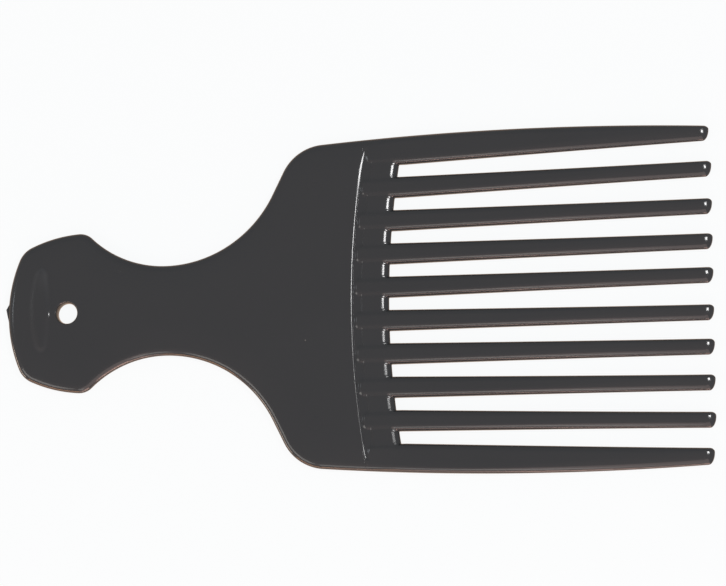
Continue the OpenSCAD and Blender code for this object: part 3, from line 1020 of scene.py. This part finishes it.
def make_plastic():
    """Gloss black plastic: faint flow marks, hairline scratches, dust, duller worn edges, and a
    lighter haze of painted sheen on the thumb pad.
    """
    mat = bpy.data.materials.new("black_plastic_gloss")
    mat.use_nodes = True
    tree = mat.node_tree
    shader = tree.nodes["Principled BSDF"]
    link = tree.links.new
    place = tree.nodes.new("ShaderNodeTexCoord").outputs["Object"]

    def noise(scale, stretch, turn, detail, roughness):
        mapping = tree.nodes.new("ShaderNodeMapping")
        mapping.inputs["Scale"].default_value = stretch
        mapping.inputs["Rotation"].default_value = (0, 0, turn)
        link(place, mapping.inputs["Vector"])
        node = tree.nodes.new("ShaderNodeTexNoise")
        for name, v in (("Scale", scale), ("Detail", detail), ("Roughness", roughness)):
            node.inputs[name].default_value = v
        link(mapping.outputs["Vector"], node.inputs["Vector"])
        return node.outputs["Fac"]

    def attribute(name):
        node = tree.nodes.new("ShaderNodeAttribute")
        node.attribute_name = name
        return node.outputs["Fac"]

    def spread(value, low, high, to_low, to_high):
        node = tree.nodes.new("ShaderNodeMapRange")
        ends = ("From Min", low), ("From Max", high), ("To Min", to_low), ("To Max", to_high)
        for name, v in ends:
            node.inputs[name].default_value = v
        link(value, node.inputs["Value"])
        return node.outputs["Result"]

    def math_node(operation, a, b):
        node = tree.nodes.new("ShaderNodeMath")
        node.operation = operation
        for socket, v in zip(node.inputs, (a, b)):
            if isinstance(v, (int, float)):
                socket.default_value = v
            else:
                link(v, socket)
        return node.outputs["Value"]

    def mixed(factor, a, b):
        node = tree.nodes.new("ShaderNodeMix")
        node.data_type = "RGBA"
        for socket, v in ((MIX_FACTOR, factor), (MIX_A, a), (MIX_B, b)):
            if isinstance(v, tuple):
                node.inputs[socket].default_value = v
            else:
                link(v, node.inputs[socket])
        return node.outputs[MIX_OUT]

    def plus(total, *parts):
        for value, share in parts:
            total = math_node("ADD", total, math_node("MULTIPLY", value, share))
        return total

    flow, grain = noise(*FLOW), noise(*GRAIN)
    scratch = spread(noise(*SCRATCHES), *SCRATCH_RANGE)
    scuff = spread(noise(*SCUFFS), *SCUFF_RANGE)
    worn = attribute("rim")
    dust = tree.nodes.new("ShaderNodeTexVoronoi")
    dust.inputs["Scale"].default_value = DUST_SCALE
    link(place, dust.inputs["Vector"])
    chance = tree.nodes.new("ShaderNodeSeparateColor")
    link(dust.outputs["Color"], chance.inputs["Color"])
    near = spread(dust.outputs["Distance"], *DUST_NEAR)
    speck = math_node("MULTIPLY", near, spread(chance.outputs["Red"], *DUST_CHANCE))

    colour = mixed(flow, PLASTIC_LOW, PLASTIC_HIGH)
    colour = mixed(math_node("MULTIPLY", speck, DUST_SHOWS), colour, DUST_COLOUR)
    # Painted sheen: the haze attribute mixes a lighter colour in along the thumb pad's edge, broken
    # up by the flow noise
    haze_and_sheen = math_node("MULTIPLY", attribute("haze_and_sheen"), spread(flow, *HAZE_SHEEN_BREAKS))
    link(mixed(haze_and_sheen, colour, HAZE_SHEEN_COLOUR), shader.inputs["Base Color"])

    rough = math_node("ADD", spread(flow, *FLOW_ROUGH), spread(grain, *GRAIN_ROUGH))
    wear = (scratch, SCRATCH_ROUGH), (scuff, SCUFF_ROUGH), (worn, WORN_ROUGH), (speck, DUST_ROUGH)
    link(plus(rough, *wear), shader.inputs["Roughness"])

    relief = (grain, GRAIN_HEIGHT), (scratch, SCRATCH_HEIGHT), (scuff, SCUFF_HEIGHT)
    height = plus(flow, *relief, (speck, DUST_HEIGHT))
    bump = tree.nodes.new("ShaderNodeBump")
    bump.inputs["Strength"].default_value = BUMP_STRENGTH
    bump.inputs["Distance"].default_value = BUMP_DISTANCE
    link(height, bump.inputs["Height"])
    link(bump.outputs["Normal"], shader.inputs["Normal"])
    shader.inputs["IOR"].default_value = PLASTIC_IOR
    shader.inputs["Metallic"].default_value = 0.0
    return mat


# Floor, in metres, a little below the pick. To the camera, and in the gloss of the pick, it is
# in part evenly bright: the colour of that, and its share
FLOOR_HALF = 3.0
FLOOR_Z = -0.00002
FLOOR_COLOUR = (0.86, 0.865, 0.87, 1)
FLOOR_ROUGH = 0.3
FLOOR_SPECULAR = 0.5
EVENLY_BRIGHT = (
    ("Is Camera Ray", (0.985, 0.995, 1, 1), 0.93),
    ("Is Glossy Ray", (1, 0.7, 0.5, 1), 0.8),
)
WORLD_LEVEL = 0.4


def make_floor():
    """A plain white floor with a faint shadow for the camera, and a full one elsewhere."""
    mat = bpy.data.materials.new("white_floor")
    mat.use_nodes = True
    tree = mat.node_tree
    link = tree.links.new
    shader = tree.nodes["Principled BSDF"]
    shader.inputs["Base Color"].default_value = FLOOR_COLOUR
    shader.inputs["Roughness"].default_value = FLOOR_ROUGH
    shader.inputs["Specular IOR Level"].default_value = FLOOR_SPECULAR

    def mixed(factor, first, second):
        mix = tree.nodes.new("ShaderNodeMixShader")
        for socket, output in zip(mix.inputs, (factor, first, second)):
            link(output, socket)
        return mix.outputs["Shader"]

    path = tree.nodes.new("ShaderNodeLightPath")
    look = shader.outputs["BSDF"]
    for ray, colour, even in EVENLY_BRIGHT:
        bright = tree.nodes.new("ShaderNodeEmission")
        bright.inputs["Color"].default_value = colour
        share = tree.nodes.new("ShaderNodeMath")
        share.operation = "MULTIPLY"
        share.inputs[1].default_value = even
        link(path.outputs[ray], share.inputs[0])
        look = mixed(share.outputs["Value"], look, bright.outputs["Emission"])
    # From below the floor is clear, so that the back can be looked at
    side = tree.nodes.new("ShaderNodeNewGeometry")
    clear = tree.nodes.new("ShaderNodeBsdfTransparent")
    look = mixed(side.outputs["Backfacing"], look, clear.outputs["BSDF"])
    link(look, tree.nodes["Material Output"].inputs["Surface"])

    mesh = bpy.data.meshes.new("floor")
    sides = ((-1, -1), (1, -1), (1, 1), (-1, 1))
    corners = [(i * FLOOR_HALF, j * FLOOR_HALF, FLOOR_Z) for i, j in sides]
    mesh.from_pydata(corners, [], [(0, 1, 2, 3)])
    mesh.materials.append(mat)
    floor = bpy.data.objects.new("floor", mesh)
    bpy.context.scene.collection.objects.link(floor)


# Camera, from the lines that the photograph fixes: what it aims at, its axes, how far away it
# is in metres, its focal length in pixels of the photograph, and the range that it sees
AIM = Vector(((88.6 - ORIGIN_X) * MM, 2.86 * MM, MID_Z * MM))
RIGHT = (0.98401, -0.00613, -0.17799)
UP = (0.03109, 0.98997, 0.13780)
BACK = (0.17536, -0.14113, 0.97433)
AWAY = 0.84875
FOCAL_PX = 3508
PHOTO_W = 726
SENSOR = 36
SEES = (0.01, 20)


def make_camera():
    data = bpy.data.cameras.new("camera")
    data.sensor_fit = "HORIZONTAL"
    data.sensor_width = SENSOR
    data.lens = SENSOR * FOCAL_PX / PHOTO_W
    data.clip_start, data.clip_end = SEES
    camera = bpy.data.objects.new("camera", data)
    turn = Matrix((RIGHT, UP, BACK)).transposed()
    camera.matrix_world = Matrix.Translation(AIM + Vector(BACK) * AWAY) @ turn.to_4x4()
    bpy.context.scene.collection.objects.link(camera)
    bpy.context.scene.camera = camera


# Name, azimuth and elevation as seen from the aim, distance and size in metres, power, colour
LAMPS = (
    ("lamp_core", 7, 54.5, 1.0, (0.135, 0.2), 2.1, (1, 1, 1)),
    ("lamp_tips", 9, 55, 1.0, (0.24, 0.32), 0.75, (1, 1, 1)),
    ("lamp_near", 258, 38, 1.0, (0.3, 0.22), 0.45, (1, 1, 0.96)),
    ("lamp_near_grip", 214, 38, 1.0, (0.7, 0.26), 1.5, (1, 0.97, 0.92)),
    ("lamp_low_grip", 238, 5, 1.2, (0.8, 0.18), 3.4, (1, 0.48, 0.22)),
    ("lamp_low_neck", 197, 5, 1.2, (0.6, 0.18), 2.8, (1, 0.78, 0.62)),
    ("lamp_low_teeth", 262, 9, 1.2, (0.25, 0.4), 0.8, (1, 0.66, 0.58)),
    ("lamp_high_tips", 288, 42, 1.2, (0.9, 0.8), 2.5, (1, 0.76, 0.7)),
    ("lamp_middle_tips", 287, 16, 1.2, (0.48, 0.34), 2.2, (1, 0.62, 0.52)),
    ("lamp_low_tips", 281, 5, 1.2, (0.7, 0.18), 4.5, (1, 0.62, 0.5)),
    ("lamp_butt", 169, 40, 1.0, (0.1, 0.1), 0.12, (0.85, 0.93, 1)),
)


def make_lamp(name, azimuth, elevation, away, size, power, colour):
    """A rectangular lamp that faces the pick."""
    data = bpy.data.lights.new(name, "AREA")
    data.shape = "RECTANGLE"
    data.size, data.size_y = size
    data.energy = power
    data.color = colour
    lamp = bpy.data.objects.new(name, data)
    a, h = math.radians(azimuth), math.radians(elevation)
    toward = Vector((math.cos(a) * math.cos(h), math.sin(a) * math.cos(h), math.sin(h)))
    lamp.location = AIM + toward * away
    lamp.rotation_mode = "QUATERNION"
    lamp.rotation_quaternion = toward.to_track_quat("Z", "Y")
    bpy.context.scene.collection.objects.link(lamp)


def make_world():
    world = bpy.data.worlds.new("studio")
    world.use_nodes = True
    back = world.node_tree.nodes["Background"]
    back.inputs["Color"].default_value = (1, 1, 1, 1)
    back.inputs["Strength"].default_value = WORLD_LEVEL
    bpy.context.scene.world = world


PLASTIC = make_plastic()
build_plate()
build_bar()
for k in range(TEETH):
    build_tooth(k)
build_pad()
build_gate()
make_floor()
make_world()
make_camera()
for lamp in LAMPS:
    make_lamp(*lamp)

bpy.context.scene.view_settings.view_transform = "Standard"
